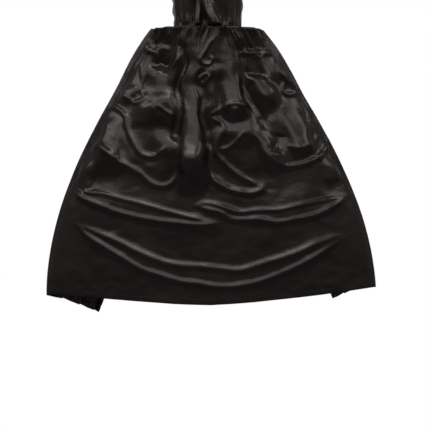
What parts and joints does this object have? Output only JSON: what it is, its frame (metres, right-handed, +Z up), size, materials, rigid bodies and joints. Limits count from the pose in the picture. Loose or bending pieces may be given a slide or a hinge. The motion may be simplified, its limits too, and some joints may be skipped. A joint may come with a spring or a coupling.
{
  "type": "hooded cape",
  "caption": "Black satin hooded costume cape with a gathered neck seam, hinged front panels and a hook-and-loop throat closure, spread as when worn.",
  "frame": {"origin": "centre of the neck opening, at the height of the neck seam", "axes": "+Z up, +Y the way the wearer faces, so the back of the cape faces -Y and +X is the wearer's right"},
  "size_m": [0.83, 0.2553, 1.019],
  "materials": {
    "satin": "glossy black satin, soft crumples and a fine crosswise slub",
    "satin_hem": "black satin, turned and stitched double",
    "ribbon": "black woven ribbon, low sheen",
    "hook_and_loop": "matt black hook-and-loop tape",
    "label_ribbon": "blank off-white woven label"
  },
  "bodies": {
    "cape_body": {"back_panel": "satin", "back_hem": "satin_hem", "left_seam_tape": "ribbon", "right_seam_tape": "ribbon", "neck_facing": "ribbon", "closure_underlap": "satin_hem", "loop_patch": "hook_and_loop", "hanging_loop": "ribbon"},
    "hood": {"hood_left": "satin", "hood_right": "satin", "hood_seam_tape": "ribbon", "hood_casing_left": "satin_hem", "hood_casing_right": "satin_hem"},
    "left_front": {"left_front_panel": "satin", "left_front_facing": "satin_hem", "left_front_hem": "satin_hem"},
    "right_front": {"right_front_panel": "satin", "right_front_facing": "satin_hem", "right_front_hem": "satin_hem"},
    "closure": {"closure_tab": "satin_hem", "hook_patch": "hook_and_loop"},
    "label": {"care_label": "label_ribbon"}
  },
  "joints": [
    {"name": "hood_drop", "type": "hinge", "parent": "cape_body", "child": "hood", "pos_m": [0, -0.076, 0], "axis": [1, 0, 0], "range_deg": [0, 100]},
    {"name": "left_front_open", "type": "hinge", "parent": "cape_body", "child": "left_front", "pos_m": [-0.03507, 0.06859, -0.02118], "axis": [0.4828, 0.0387, 0.8749], "range_deg": [0, 100]},
    {"name": "right_front_open", "type": "hinge", "parent": "cape_body", "child": "right_front", "pos_m": [0.03507, 0.06859, -0.02118], "axis": [0.4828, -0.0387, -0.8749], "range_deg": [0, 100]},
    {"name": "closure_peel", "type": "hinge", "parent": "cape_body", "child": "closure", "pos_m": [-0.04, 0.0761, 0], "axis": [0, 0, 1], "range_deg": [0, 120]},
    {"name": "label_flip", "type": "hinge", "parent": "cape_body", "child": "label", "pos_m": [0.039, -0.056, -0.004], "axis": [0.891, 0.454, 0], "range_deg": [0, 90]}
  ]
}
